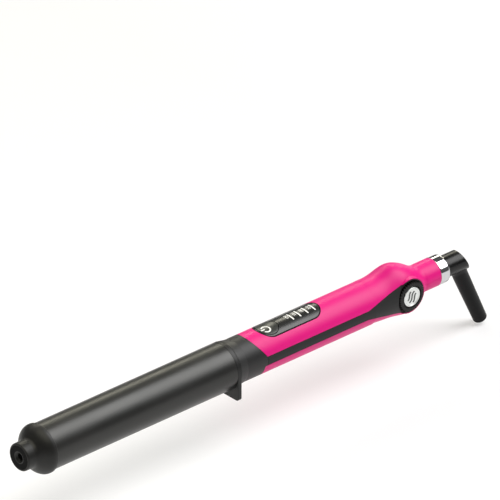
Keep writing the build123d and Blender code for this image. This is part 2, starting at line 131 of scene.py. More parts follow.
@dataclass(frozen=True)
class Finish:
    """A surface finish. Colours are sRGB hex, sizes are real millimetres."""

    name: str
    colour: str
    roughness: float = 0.5
    metallic: float = 0.0
    ior: float = 1.5
    specular: float = 0.5
    grain_mm: float = 0.6
    grain_depth_mm: float = 0.01
    patch_mm: float = 25.0
    patch_shift: float = 0.06
    roughness_shift: float = 0.05
    coat: float = 0.0
    sheen: float = 0.0
    lines: Lines = Lines.NONE
    line_mm: float = 0.4
    line_depth_mm: float = 0.002
    speck: float = 0.0
    speck_mm: float = 0.5

    def build(self) -> bpy.types.Material:
        """Make the material: fine grain and lines in the bump, slow patches in colour and roughness.

        Returns:
            The new material.
        """
        material = bpy.data.materials.new(self.name)
        material.use_nodes = True
        tree = material.node_tree
        tree.nodes.clear()
        place = add_node(tree, "ShaderNodeTexCoord").outputs["Object"]
        patch = add_node(tree, "ShaderNodeTexNoise", None, {
            "Vector": place, "Scale": 1 / (self.patch_mm * MM), "Detail": 2.0, "Roughness": 0.5})
        gloss = add_node(tree, "ShaderNodeMapRange", None, {
            "Value": patch.outputs["Fac"], "From Min": 0.3, "From Max": 0.7,
            "To Min": self.roughness - self.roughness_shift / 2,
            "To Max": self.roughness + self.roughness_shift / 2})
        shader = add_node(tree, "ShaderNodeBsdfPrincipled", None, {
            "Base Color": self.tone(tree, place, patch), "Roughness": gloss.outputs["Result"],
            "Metallic": self.metallic, "IOR": self.ior, "Specular IOR Level": self.specular,
            "Coat Weight": self.coat, "Coat Roughness": 0.05, "Sheen Weight": self.sheen,
            "Normal": self.relief(tree, place)})
        add_node(tree, "ShaderNodeOutputMaterial", None, {"Surface": shader.outputs["BSDF"]})
        return material

    def tone(self, tree: bpy.types.NodeTree, place: bpy.types.NodeSocket,
             patch: bpy.types.Node) -> bpy.types.NodeSocket:
        """Colour that drifts a little from place to place, with paler specks where the finish has them.

        Args:
            tree: the material's node tree.
            place: Object coordinates.
            patch: the slow noise.

        Returns:
            The colour's socket.
        """
        base = linear(self.colour)
        drift = add_node(tree, "ShaderNodeValToRGB", None, {"Fac": patch.outputs["Fac"]})
        paint_ramp(drift, [(0.3, tuple(c * (1 - self.patch_shift) for c in base[:3]) + (1.0,)),
                           (0.7, tuple(min(1.0, c * (1 + self.patch_shift)) for c in base[:3]) + (1.0,))])
        if not self.speck:
            return drift.outputs["Color"]
        dots = add_node(tree, "ShaderNodeTexVoronoi", None, {
            "Vector": place, "Scale": 1 / (self.speck_mm * MM)})
        share = add_node(tree, "ShaderNodeMapRange", None, {
            "Value": dots.outputs["Distance"], "From Min": 0.05, "From Max": 0.22,
            "To Min": self.speck, "To Max": 0.0})
        paler = add_node(tree, "ShaderNodeMix", {"data_type": "RGBA"}, {
            0: share.outputs["Result"], 6: drift.outputs["Color"],
            7: tuple(min(1.0, c + 0.25) for c in base[:3]) + (1.0,)})
        return paler.outputs[2]

    def relief(self, tree: bpy.types.NodeTree, place: bpy.types.NodeSocket) -> bpy.types.NodeSocket:
        """Bump from the moulded or sprayed grain, and from machine lines over it.

        Args:
            tree: the material's node tree.
            place: Object coordinates.

        Returns:
            The normal's socket.
        """
        grain = add_node(tree, "ShaderNodeTexNoise", {"noise_dimensions": "3D"}, {
            "Vector": place, "Scale": 1 / (self.grain_mm * MM), "Detail": 3.0, "Roughness": 0.55})
        bump = add_node(tree, "ShaderNodeBump", None, {
            "Height": grain.outputs["Fac"], "Strength": 1.0, "Distance": self.grain_depth_mm * MM})
        if self.lines is Lines.NONE:
            return bump.outputs["Normal"]
        centre = (-DIAL_X * MM, 0.0, -AXIS_HEIGHT) if self.lines is Lines.SPUN else (0.0, 0.0, 0.0)
        centred = add_node(tree, "ShaderNodeMapping", None, {"Vector": place, "Location": centre})
        kinds = {Lines.TURNED: {"wave_type": "BANDS", "bands_direction": "X"},
                 Lines.SPUN: {"wave_type": "RINGS", "rings_direction": "Y"}}
        wave = add_node(tree, "ShaderNodeTexWave", kinds[self.lines], {
            "Vector": centred.outputs["Vector"], "Scale": math.tau / 20 / (self.line_mm * MM),
            "Distortion": 1.5, "Detail": 2.0})
        ridged = add_node(tree, "ShaderNodeBump", None, {
            "Height": wave.outputs["Fac"], "Strength": 1.0, "Distance": self.line_depth_mm * MM,
            "Normal": bump.outputs["Normal"]})
        return ridged.outputs["Normal"]


# glass-filled nylon of the tip, spark-textured in the mould: near black, with wide soft highlights
TIP_NYLON = Finish("glass_filled_nylon_matte", "#151514", 0.44, grain_mm=0.35, grain_depth_mm=0.008,
                   patch_mm=12, specular=0.33)
# the same nylon, darker and with little specular, on the ring in the tip's face: painted shade that keeps the face
# near black
TIP_FACE_PAINTED_SHADE = Finish("glass_filled_nylon_painted_shade", "#0b0b0b", 0.62, grain_mm=0.3, grain_depth_mm=0.014,
                  patch_mm=6, specular=0.08)
# aluminium tube, turned and sprayed with dark ceramic: metal-like satin, fine rings and a faint fleck
BARREL_CERAMIC = Finish("ceramic_coated_aluminium", "#3b3b3a", 0.35, metallic=0.75, grain_mm=0.25,
                        grain_depth_mm=0.003, patch_shift=0.03, lines=Lines.TURNED, line_mm=0.9,
                        line_depth_mm=0.0012, speck=0.05, speck_mm=0.8)
# heat-proof PPS of the collar: moulded, charcoal rather than black, with a broad dull sheen
COLLAR_POLYMER = Finish("moulded_pps_charcoal", "#191919", 0.46, grain_mm=0.4, grain_depth_mm=0.007,
                        specular=0.4)
# the same PPS on the flange and its foot, coloured a shade darker than the collar as painted shade for the foot
# under the barrel, with the same soft highlight
FOOT_POLYMER_PAINTED_SHADE = Finish("moulded_pps_painted_shade", "#141414", 0.46, grain_mm=0.4, grain_depth_mm=0.008,
                      specular=0.36)
# pink ABS under a satin clear lacquer: soft wide highlights over a very faint orange peel
PINK_ABS = Finish("pink_abs_satin_lacquer", "#dc0b7b", 0.40, grain_mm=1.6, grain_depth_mm=0.005,
                  patch_mm=40, patch_shift=0.02, specular=0.27)
# soft-touch elastomer of the side strips: dry, with a fine grain that breaks up any highlight
STRIP_SOFT = Finish("soft_touch_elastomer", "#1c1c1c", 0.60, grain_mm=0.3, grain_depth_mm=0.012, sheen=0.03,
                    specular=0.3)
# smoked acrylic window, polished: sharp bands of light over near black
PANEL_ACRYLIC = Finish("smoked_acrylic_gloss", "#1a1c1b", 0.28, grain_mm=4.0, grain_depth_mm=0.002,
                       specular=0.45)
# button top with a satin metallic varnish over ABS
BUTTON_VARNISH = Finish("metallic_varnish_satin", "#383a37", 0.30, metallic=0.25, grain_mm=0.3,
                        grain_depth_mm=0.003, patch_mm=6)
# black band sunk in the window's joint: painted shade standing in for the shadow inside the gap, so the joint reads
# as a thin dark line
GAP_SHADE_BLACK = Finish("window_gap_painted_shade", "#070606", 0.7, grain_mm=0.4, grain_depth_mm=0.006, specular=0.1)
# dial of black nylon, moulded, with a fine grain all over
DIAL_NYLON = Finish("dial_moulded_nylon", "#090a0a", 0.38, grain_mm=0.3, grain_depth_mm=0.008, patch_mm=5,
                    specular=0.25)
# stamped aluminium badge with spun circles under a satin silver anodising
BADGE_SILVER = Finish("spun_anodised_aluminium", "#e0e3e1", 0.30, metallic=0.8, grain_mm=0.2,
                      grain_depth_mm=0.002, lines=Lines.SPUN, line_mm=0.35, line_depth_mm=0.0015, patch_mm=5)
# chrome plate on ABS, bright: a mirror with the least waviness of the plating under it
CHROME_PLATE = Finish("bright_chrome_plate", "#cbcbcd", 0.06, metallic=1.0, grain_mm=7.0,
                      grain_depth_mm=0.002, patch_shift=0.01, roughness_shift=0.03)
# elbow of satin black nylon
ELBOW_NYLON = Finish("elbow_nylon_satin", "#0f0f0f", 0.27, grain_mm=0.4, grain_depth_mm=0.004, patch_mm=8,
                     specular=0.28)
# cord guard of soft black PVC: moulded dull, so it holds no sharp highlight beside the elbow's
GUARD_PVC = Finish("guard_soft_pvc", "#101011", 0.46, grain_mm=0.35, grain_depth_mm=0.010, patch_mm=10,
                   specular=0.13)
# pad-printed white ink
PRINT_WHITE = Finish("pad_print_white", "#f2f2ef", 0.5, grain_mm=0.2, grain_depth_mm=0.002, patch_mm=2)
# dark grey ink on the badge, flat beside the metal
PRINT_DARK = Finish("pad_print_grey", "#4a4c4c", 0.5, grain_mm=0.2, grain_depth_mm=0.002, patch_mm=2)
# zinc plated screws and clips
STEEL = Finish("zinc_plated_steel", "#a9abac", 0.34, metallic=1.0, grain_mm=0.4, grain_depth_mm=0.003,
               lines=Lines.TURNED, line_mm=0.5)
# extruded heat spreaders, as drawn
ALUMINIUM = Finish("extruded_aluminium", "#c4c6c8", 0.4, metallic=1.0, grain_mm=0.5, grain_depth_mm=0.004)
# fired alumina, dry and chalky
CERAMIC = Finish("alumina_ceramic", "#e6e1d6", 0.6, grain_mm=0.3, grain_depth_mm=0.01, patch_mm=8)
# plain moulded parts inside
BLACK_MOULDING = Finish("plain_black_moulding", "#202020", 0.5, grain_mm=0.5, grain_depth_mm=0.006)
# solder lacquer over glass fibre, with the weave's slow unevenness
BOARD_LACQUER = Finish("green_solder_lacquer", "#1d5a34", 0.3, grain_mm=0.5, coat=0.3, patch_mm=4,
                       patch_shift=0.12)
# cast epoxy of the lamps
LAMP_EPOXY = Finish("cast_clear_epoxy", "#e8e6dc", 0.2, grain_mm=1.0, grain_depth_mm=0.002)
# dipped film capacitor
CAPACITOR_CASE = Finish("capacitor_case", "#b08a2e", 0.45, grain_mm=0.6)
# rolled brass springs and rings
BRASS = Finish("rolled_brass", "#c9a86a", 0.3, metallic=1.0, grain_mm=0.4, grain_depth_mm=0.003)
# silicone sleeve of the leads
LEAD_SLEEVE = Finish("silicone_sleeve", "#dcdad2", 0.5, grain_mm=0.4, grain_depth_mm=0.006)


class Paintbox:
    """Builds each finish once and hands it out."""

    def __init__(self) -> None:
        """Start with no material made."""
        self.made: dict[str, bpy.types.Material] = {}

    def get(self, finish: Finish) -> bpy.types.Material:
        """Return the finish's material, made on first use."""
        if finish.name not in self.made:
            self.made[finish.name] = finish.build()
        return self.made[finish.name]

    def dress(self, obj: bpy.types.Object, finish: Finish) -> None:
        """Give an object one finish all over.

        Args:
            obj: a piece or a CAD node.
            finish: its finish.
        """
        obj.data.materials.clear()
        obj.data.materials.append(self.get(finish))


PAINT = Paintbox()


class Body(Enum):
    """The bodies that pieces ride on."""

    ROOT = "root"
    BUTTON = "button"
    DIAL = "dial"
    SWIVEL = "swivel"


# ---- shapes ----------------------------------------------------------------------------------
def along_wand(place: float = 0.0) -> Matrix:
    """Frame on the wand's axis at a place in mm, with its Z running towards the cord end."""
    return Matrix.Translation((place * MM, 0, AXIS_HEIGHT)) @ Matrix.Rotation(math.pi / 2, 4, "Y")


def out_of_dial() -> Matrix:
    """Frame on the dial's axis, with its Z running out of the dial's face."""
    return Matrix.Translation((DIAL_X * MM, 0, AXIS_HEIGHT)) @ Matrix.Rotation(math.pi / 2, 4, "X")


def down_guard() -> Matrix:
    """Frame at the elbow's pivot, with its Z running down the guard."""
    return Matrix.Translation((PIVOT_X * MM, 0, AXIS_HEIGHT)) @ Matrix.Rotation(
        math.pi - math.radians(GUARD_TILT), 4, "Y")


def rounded(corners: Sequence[tuple[float, float, float]], steps: int = 6) -> list[tuple[float, float]]:
    """Round the corners of a half section.

    Args:
        corners: radius, place along the axis and rounding of each corner, in mm.
        steps: parts of each rounding.

    Returns:
        Points (radius, place) in mm.
    """
    points: list[tuple[float, float]] = []
    for index, (radius, place, rounding) in enumerate(corners):
        here = Vector((radius, place))
        if not rounding:
            points.append((radius, place))
            continue
        back = Vector(corners[index - 1][:2]) - here
        ahead = Vector(corners[(index + 1) % len(corners)][:2]) - here
        reach = min(rounding / math.tan(back.angle(ahead) / 2), back.length * 0.49, ahead.length * 0.49)
        start, end = here + back.normalized() * reach, here + ahead.normalized() * reach
        for step in range(steps + 1):
            share = step / steps
            point = start.lerp(here, share).lerp(here.lerp(end, share), share)
            points.append((point.x, point.y))
    return points


def bow(start: tuple[float, float], pull: tuple[float, float], end: tuple[float, float],
        steps: int = 10) -> list[tuple[float, float]]:
    """Points of a smooth curve in a half section.

    Args:
        start: radius and place of the first point.
        pull: the point that the curve leaves for and arrives from.
        end: the last point.
        steps: parts of the curve.

    Returns:
        Points (radius, place).
    """
    first, middle, last = Vector(start), Vector(pull), Vector(end)
    return [tuple(first.lerp(middle, k / steps).lerp(middle.lerp(last, k / steps), k / steps))
            for k in range(steps + 1)]


def lathe(outline: Sequence[tuple[float, float]], place: Matrix, steps: int = 128,
          ring: bool = False) -> bmesh.types.BMesh:
    """Turn a half section into a solid.

    Args:
        outline: points (radius, place along the axis) in mm.
        place: frame of the axis.
        steps: parts of the full turn.
        ring: whether the outline closes on itself instead of ending on the axis.

    Returns:
        The closed solid, in place.
    """
    mesh = bmesh.new()
    line = [mesh.verts.new((radius * MM, 0, along * MM)) for radius, along in outline]
    for one, two in zip(line, line[1:] + (line[:1] if ring else [])):
        mesh.edges.new((one, two))
    bmesh.ops.spin(mesh, geom=mesh.verts[:] + mesh.edges[:], cent=(0, 0, 0), axis=(0, 0, 1),
                   angle=math.tau, steps=steps, use_merge=True)
    bmesh.ops.remove_doubles(mesh, verts=mesh.verts, dist=1e-7)
    bmesh.ops.recalc_face_normals(mesh, faces=mesh.faces)
    bmesh.ops.transform(mesh, matrix=place, verts=mesh.verts)
    return mesh


def thicken(mesh: bmesh.types.BMesh, height: float) -> None:
    """Give a flat sheet a thickness upwards and close it.

    Args:
        mesh: a flat sheet at height zero.
        height: its thickness in metres.
    """
    grown = bmesh.ops.extrude_face_region(mesh, geom=mesh.faces[:])
    bmesh.ops.translate(mesh, vec=(0, 0, height),
                        verts=[v for v in grown["geom"] if isinstance(v, bmesh.types.BMVert)])
    bmesh.ops.recalc_face_normals(mesh, faces=mesh.faces)


def drape(mesh: bmesh.types.BMesh, surface: Callable[[float, float], float]) -> None:
    """Lay flat work on a curved surface: each point's height becomes a height over the surface.

    Args:
        mesh: work made near height zero.
        surface: height of the surface at a point (x, y), in metres.
    """
    for vert in mesh.verts:
        vert.co.z += surface(vert.co.x, vert.co.y)


def cut_across(mesh: bmesh.types.BMesh, low: float, high: float, pitch: float) -> None:
    """Cut flat work across Y at even steps, so that it can follow a curve.

    Args:
        mesh: the work.
        low: first Y in metres.
        high: last Y in metres.
        pitch: step in metres.
    """
    for step in range(int((high - low) / pitch) + 1):
        bmesh.ops.bisect_plane(mesh, geom=mesh.verts[:] + mesh.edges[:] + mesh.faces[:], dist=1e-7,
                               plane_co=(0, low + step * pitch, 0), plane_no=(0, 1, 0))


def grip_top(x: float, y: float, radius: float = GRIP_R) -> float:
    """Height of the round grip's surface over the table, in metres."""
    return AXIS_HEIGHT + math.sqrt(radius ** 2 - y ** 2)


def piece(name: str, mesh: bmesh.types.BMesh, body: Body, finish: Finish,
          smooth_angle: float = 40.0) -> bpy.types.Object:
    """Make a finished piece from a bmesh that is already in place.

    Args:
        name: the piece's name.
        mesh: its shape in the row frame, in metres. It is freed.
        body: the body that it rides on.
        finish: its finish.
        smooth_angle: edges sharper than this stay crisp, in degrees.

    Returns:
        The piece's object.
    """
    open_edges = sum(not edge.is_manifold for edge in mesh.edges)
    for edge in mesh.edges:
        edge.smooth = len(edge.link_faces) == 2 and edge.calc_face_angle(0.0) < math.radians(smooth_angle)
    for face in mesh.faces:
        face.smooth = True
    data = bpy.data.meshes.new(name)
    mesh.to_mesh(data)
    mesh.free()
    obj = bpy.data.objects.new(name, data)
    bpy.context.scene.collection.objects.link(obj)
    PAINT.dress(obj, finish)
    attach(obj, body.value)
    LOG.info("%s: %d faces, %d open edges", name, len(data.polygons), open_edges)
    return obj


def dress_nodes(finish: Finish, names: Iterable[str]) -> None:
    """Give CAD nodes a finish.

    Args:
        finish: the finish.
        names: the nodes.
    """
    for name in names:
        PAINT.dress(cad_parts[name], finish)


# ---- sub-assemblies --------------------------------------------------------------------------
@dataclass
class Barrel:
    """Styling barrel, its tip and what heats it. Radii and places along the wand in mm."""

    tip_face: float = -172.5
    knob_r: float = 9.5
    knob_rounding: float = 1.2
    knob_draft: float = 0.1
    knob_end: float = -166.6
    sink_r: float = 3.8
    ring_in: float = 4.3
    ring_out: float = 8.3
    ring_deep: float = 0.4
    ring_gap: float = 0.04
    hole_r: float = 2.45
    screw_r: float = 1.4
    screw_seat: float = -165.0
    shoulder_r: float = 16.997
    shoulder_start: float = -155.6
    shoulder_end: float = -153.95
    dome_r: float = 12.6
    dome_start: float = -162.4
    dome_pull: float = -158.8
    socket_r: float = 14.95
    wall_r: float = 12.5
    wall_start: float = -160.0
    floor_place: float = -162.0
    tail_end: float = -147.0

    def build(self) -> None:
        """Make the tip, turned with its countersunk hole, and the ring sunk in its face, coloured darker as painted
        shade.
        """
        recess = self.tip_face + self.ring_deep
        knob = rounded([(self.screw_r, self.floor_place, 0), (self.screw_r, self.screw_seat, 0),
                        (self.hole_r, self.screw_seat, 0),
                        (self.hole_r, self.tip_face + 1.3, 0.3), (self.sink_r, self.tip_face, 0.5),
                        (self.ring_in, self.tip_face, 0), (self.ring_in, recess, 0), (self.ring_out, recess, 0)])
        knob += bow((self.ring_out, self.tip_face), (self.knob_r, self.tip_face),
                    (self.knob_r, self.tip_face + self.knob_rounding), 8)
        hollow = bow((self.knob_r + self.knob_draft, self.knob_end), (9.72, -164.75), (11.0, -163.7))
        dome = bow((self.dome_r, self.dome_start), (self.shoulder_r, self.dome_pull),
                   (self.shoulder_r, self.shoulder_start), 14)
        back = rounded([(self.shoulder_r, self.shoulder_start, 0), (self.shoulder_r, self.shoulder_end, 0.6),
                        (self.socket_r, self.shoulder_end, 0), (self.socket_r, self.tail_end, 0),
                        (self.wall_r, self.tail_end, 0), (self.wall_r, self.wall_start, 0),
                        (9.0, self.floor_place, 0)])
        outline = knob + hollow + dome + back[1:]
        tip = piece("tip_cap", lathe(outline, along_wand(), 160, ring=True), Body.ROOT, TIP_NYLON)
        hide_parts("cool_tip")
        # the ring in the face takes a darker copy of the tip's nylon: painted shade
        inner, outer = self.ring_in + self.ring_gap, self.ring_out - self.ring_gap
        flat = rounded([(inner, recess - 0.02, 0), (inner, self.tip_face + 0.03, 0.05),
                        (outer, self.tip_face + 0.03, 0.05), (outer, recess - 0.02, 0)])
        piece("tip_face_ring_painted_shade", lathe(flat, along_wand(), 96, ring=True), Body.ROOT, TIP_FACE_PAINTED_SHADE)

    def dress(self) -> None:
        """Finish the barrel's nodes."""
        dress_nodes(BARREL_CERAMIC, ["barrel_tube"])
        # the flange and foot take a darker copy of the collar's PPS: painted shade
        dress_nodes(FOOT_POLYMER_PAINTED_SHADE, ["stand_flange"])
        dress_nodes(COLLAR_POLYMER, ["front_collar"])
        dress_nodes(STEEL, ["tip_screw", "thermal_fuse"])
        dress_nodes(ALUMINIUM, ["heat_spreader_upper", "heat_spreader_lower"])
        dress_nodes(CERAMIC, ["heater_plates", "temperature_sensor"])
        dress_nodes(BLACK_MOULDING, ["barrel_insulator"])


@dataclass
class Handle:
    """Pink shells and their black inlays."""

    def build(self) -> None:
        """Everything here keeps its CAD shape."""

    def dress(self) -> None:
        """Finish the handle's nodes."""
        dress_nodes(PINK_ABS, ["upper_shell", "lower_shell"])
        dress_nodes(STRIP_SOFT, ["side_strip_left", "side_strip_right"])
        dress_nodes(STEEL, ["shell_screws"])
        dress_nodes(LEAD_SLEEVE, ["heater_leads", "supply_leads"])


@dataclass
class Controls:
    """Window, button, print and what lies under them. Sizes in mm, places along the wand."""

    button_x: float = 36.9
    button_r: float = 7.4
    button_top: float = 14.75
    button_dish: float = 0.35
    skirt: float = 2.2
    stem_r: float = 2.0
    stem_end: float = 9.9
    icon_x: float = 34.6
    icon_y: float = -1.8
    icon_r: float = 2.9
    icon_stroke: float = 0.95
    marks: tuple[float, ...] = (56.5, 62.6, 68.8, 74.9)
    degrees: tuple[str, ...] = ("120", "150", "180", "210")
    mark_low: float = -4.2
    mark_high: float = 3.1
    mark_wide: float = 1.0
    ink: float = 0.05
    ink_sink: float = 0.1
    numeral_tall: float = 2.9
    window_start: float = 27.8
    window_end: float = 79.8
    window_half: float = 9.25
    gap_shade_out: float = 0.14
    gap_shade_in: float = 0.6
    gap_shade_deep: float = 1.2

    def build(self) -> None:
        """Make button, icon, marks, numerals and the black band of painted shade in the window's joint."""
        self.button()
        self.icon()
        self.bars()
        self.numerals()
        self.gap_shade()

    def button_surface(self, x: float, y: float) -> float:
        """Height of the button's dished top over the table, in metres."""
        out = math.hypot(x - self.button_x * MM, y) / (self.button_r * MM)
        dish = self.button_dish * MM * max(0.0, 1 - out ** 2)
        return grip_top(x, y) - (14.8 - self.button_top) * MM - dish

    def button(self) -> None:
        """Round cap that follows the grip, a little dished, with a stem under it."""
        rim = [(self.button_r * share / 12, 0.0, 0) for share in range(12)]
        stem = self.stem_end + self.button_dish - self.button_top
        outline = rounded(rim + [(self.button_r, 0.0, 0.35), (self.button_r, -self.skirt, 0),
                                 (self.stem_r, -self.skirt, 0), (self.stem_r, stem, 0), (0.0, stem, 0)])
        mesh = lathe(outline, Matrix.Translation((self.button_x * MM, 0, 0)), 96)
        drape(mesh, self.button_surface)
        cap = piece("power_button_cap", mesh, Body.BUTTON, BUTTON_VARNISH)
        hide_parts("power_button")

    def icon(self) -> None:
        """Standby sign printed on the button: an open ring and a bar through its gap."""
        gap = math.radians(38)
        mesh = bmesh.new()
        ends = [mesh.verts.new(((self.icon_r + side * self.icon_stroke / 2) * MM, 0, 0)) for side in (-1, 1)]
        edge = mesh.edges.new(ends)
        bmesh.ops.rotate(mesh, verts=ends, cent=(0, 0, 0), matrix=Matrix.Rotation(math.pi + gap, 3, "Z"))
        bmesh.ops.spin(mesh, geom=ends + [edge], cent=(0, 0, 0), axis=(0, 0, 1), angle=math.tau - 2 * gap,
                       steps=40)
        thicken(mesh, self.ink * MM)
        place = Matrix.Translation((self.icon_x * MM, self.icon_y * MM, 0))
        bmesh.ops.transform(mesh, matrix=place, verts=mesh.verts)
        drape(mesh, self.button_surface)
        piece("power_icon_ring", mesh, Body.BUTTON, PRINT_WHITE)
        bar = bmesh.new()
        bmesh.ops.create_grid(bar, x_segments=6, y_segments=2, size=0.5)
        bmesh.ops.scale(bar, vec=(self.icon_r * 1.05 * MM, self.icon_stroke * MM, 1), verts=bar.verts)
        thicken(bar, self.ink * MM)
        shift = Matrix.Translation(((self.icon_x - self.icon_r * 0.85) * MM, self.icon_y * MM, 0))
        bmesh.ops.transform(bar, matrix=shift, verts=bar.verts)
        drape(bar, self.button_surface)
        piece("power_icon_bar", bar, Body.BUTTON, PRINT_WHITE)

    def bars(self) -> None:
        """Four white bars across the window, over the lamps."""
        mesh = bmesh.new()
        for place in self.marks:
            made = bmesh.ops.create_grid(mesh, x_segments=2, y_segments=14, size=0.5)["verts"]
            bmesh.ops.scale(mesh, vec=(self.mark_wide * MM, (self.mark_high - self.mark_low) * MM, 1), verts=made)
            bmesh.ops.translate(mesh, vec=(place * MM, (self.mark_high + self.mark_low) / 2 * MM, 0), verts=made)
        thicken(mesh, self.ink * MM)
        drape(mesh, lambda x, y: grip_top(x, y, GRIP_R - self.ink_sink * MM))
        piece("heat_mark_bars", mesh, Body.ROOT, PRINT_WHITE)

    def numerals(self) -> None:
        """The heat settings beside the bars, read with the tip up."""
        for place, text in zip(self.marks, self.degrees):
            letters = bpy.data.curves.new("numeral", "FONT")
            letters.body = text
            letters.size = self.numeral_tall * MM
            letters.align_x, letters.align_y = "CENTER", "CENTER"
            letters.offset = 0.03 * MM
            flat = bpy.data.objects.new("numeral", letters)
            bpy.context.scene.collection.objects.link(flat)
            bpy.context.view_layer.update()
            mesh = bmesh.new()
            mesh.from_mesh(flat.evaluated_get(bpy.context.evaluated_depsgraph_get()).to_mesh())
            bpy.data.objects.remove(flat)
            bpy.data.curves.remove(letters)
            bmesh.ops.remove_doubles(mesh, verts=mesh.verts, dist=1e-7)
            turn = Matrix.Translation(((place - 2.4) * MM, 0.3 * MM, 0)) @ Matrix.Rotation(math.pi / 2, 4, "Z")
            bmesh.ops.transform(mesh, matrix=turn, verts=mesh.verts)
            cut_across(mesh, -3 * MM, 4 * MM, 0.5 * MM)
            thicken(mesh, self.ink * MM)
            drape(mesh, lambda x, y: grip_top(x, y, GRIP_R - self.ink_sink * MM))
            piece("heat_numeral_" + text, mesh, Body.ROOT, PRINT_WHITE)

    def gap_shade(self) -> None:
        """Thin black band in the joint round the window: painted shade standing in for the gap's shadow."""
        mesh = bmesh.new()
        length = (self.window_end - self.window_start) / 2 - self.window_half
        loops = []
        for grow, height in ((self.gap_shade_out, 0.0), (self.gap_shade_out, -self.gap_shade_deep),
                             (-self.gap_shade_in, -self.gap_shade_deep), (-self.gap_shade_in, 0.0)):
            circle = bmesh.ops.create_circle(mesh, segments=160, radius=(self.window_half + grow) * MM)["verts"]
            for vert in circle:
                vert.co.x += math.copysign(length * MM, vert.co.x)
            bmesh.ops.translate(mesh, verts=circle, vec=(0, 0, height * MM))
            loops.append([e for e in mesh.edges if e.verts[0] in circle and e.verts[1] in circle])
        for one, two in zip(loops, loops[1:] + loops[:1]):
            bmesh.ops.bridge_loops(mesh, edges=one + two)
        bmesh.ops.recalc_face_normals(mesh, faces=mesh.faces)
        middle = (self.window_start + self.window_end) / 2
        bmesh.ops.translate(mesh, verts=mesh.verts, vec=(middle * MM, 0, 0))
        bmesh.ops.subdivide_edges(mesh, cuts=6, edges=[e for e in mesh.edges if e.calc_length() > 0.02])
        drape(mesh, lambda x, y: grip_top(x, y, GRIP_R - 0.02 * MM))
        # a black band of painted shade in the window's joint
        piece("window_gap_shade_band", mesh, Body.ROOT, GAP_SHADE_BLACK)

    def dress(self) -> None:
        """Finish the control nodes."""
        dress_nodes(PANEL_ACRYLIC, ["control_panel"])
        dress_nodes(BLACK_MOULDING, ["tactile_switch", "power_triac", "microcontroller", "dial_encoder"])
        dress_nodes(BOARD_LACQUER, ["control_board"])
        dress_nodes(LAMP_EPOXY, ["indicator_leds"])
        dress_nodes(CAPACITOR_CASE, ["mains_capacitor"])


@dataclass
class Dial:
    """Temperature dial: ribbed wheel, badge and emblem. Heights run out from the wand's axis, in mm."""

    radius: float = 10.5
    face: float = 15.2
    back: float = 10.6
    flat_r: float = 7.75
    floor: float = 13.9
    shaft_r: float = 3.0
    shaft_end: float = 1.5
    ribs: int = 36
    rib_depth: float = 0.95
    rib_reach: float = 1.6
    badge_r: float = 6.7
    badge_rim: float = 15.35
    badge_face: float = 15.12

    def build(self) -> None:
        """Make the wheel, the badge and its emblem."""
        self.wheel()
        self.badge()
        self.emblem()

    def wheel(self) -> None:
        """Wheel with ribs round its tread and a deep groove round the badge."""
        tread = [(self.radius, self.back + 0.5 + step * 0.5, 0) for step in range(7)]
        outline = rounded([(0.0, self.shaft_end, 0), (self.shaft_r, self.shaft_end, 0),
                           (self.shaft_r, self.back, 0), (self.radius - 0.3, self.back, 0)] + tread + [
                           (self.radius, self.face, 1.0), (self.flat_r, self.face, 0.3),
                           (self.flat_r - 0.15, self.floor, 0), (0.0, self.floor, 0)])
        mesh = lathe(outline, Matrix.Identity(4), self.ribs * 8)
        for vert in mesh.verts:
            out = math.hypot(vert.co.x, vert.co.y) / MM
            if out > self.radius - self.rib_reach and vert.co.z / MM > self.back - 0.1:
                wave = 0.5 - 0.5 * math.cos(self.ribs * math.atan2(vert.co.y, vert.co.x))
                share = 1 - self.rib_depth * wave ** 1.5 / out * min(1.0, (out - self.radius + self.rib_reach) / 0.8)
                vert.co.x *= share
                vert.co.y *= share
        bmesh.ops.transform(mesh, matrix=out_of_dial(), verts=mesh.verts)
        wheel = piece("dial_tread", mesh, Body.DIAL, DIAL_NYLON, 50.0)
        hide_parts("dial_wheel")

    def badge(self) -> None:
        """Round badge with a raised, rounded rim."""
        outline = rounded([(0.0, self.floor, 0), (self.badge_r, self.floor, 0),
                           (self.badge_r, self.badge_rim, 0.35), (self.badge_r - 0.75, self.badge_rim, 0.25),
                           (self.badge_r - 0.95, self.badge_face, 0.15), (0.0, self.badge_face, 0)])
        badge = piece("dial_badge_disc", lathe(outline, out_of_dial(), 96), Body.DIAL,
                      BADGE_SILVER, 50.0)
        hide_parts("dial_badge")

    def emblem(self) -> None:
        """Three rising waves, the common sign for heat, printed on the badge."""
        mesh = bmesh.new()
        for step in (-1, 0, 1):
            long, tall = (8.4, 1.2) if step == 0 else (6.4, 1.2)
            made = bmesh.ops.create_grid(mesh, x_segments=28, y_segments=2, size=0.5)["verts"]
            bmesh.ops.scale(mesh, vec=(long * MM, tall * MM, 1), verts=made)
            for vert in made:
                vert.co.y += 0.6 * MM * math.sin(vert.co.x / (1.35 * MM))
            bmesh.ops.translate(mesh, vec=(0, step * 2.5 * MM, 0), verts=made)
        thicken(mesh, 0.06 * MM)
        bmesh.ops.translate(mesh, vec=(0, 0, self.badge_face * MM), verts=mesh.verts)
        bmesh.ops.transform(mesh, matrix=out_of_dial() @ Matrix.Rotation(math.radians(60), 4, "Z"),
                            verts=mesh.verts)
        piece("dial_emblem", mesh, Body.DIAL, PRINT_DARK)

    def dress(self) -> None:
        """Finish the dial's nodes."""
        dress_nodes(STEEL, ["dial_clip"])


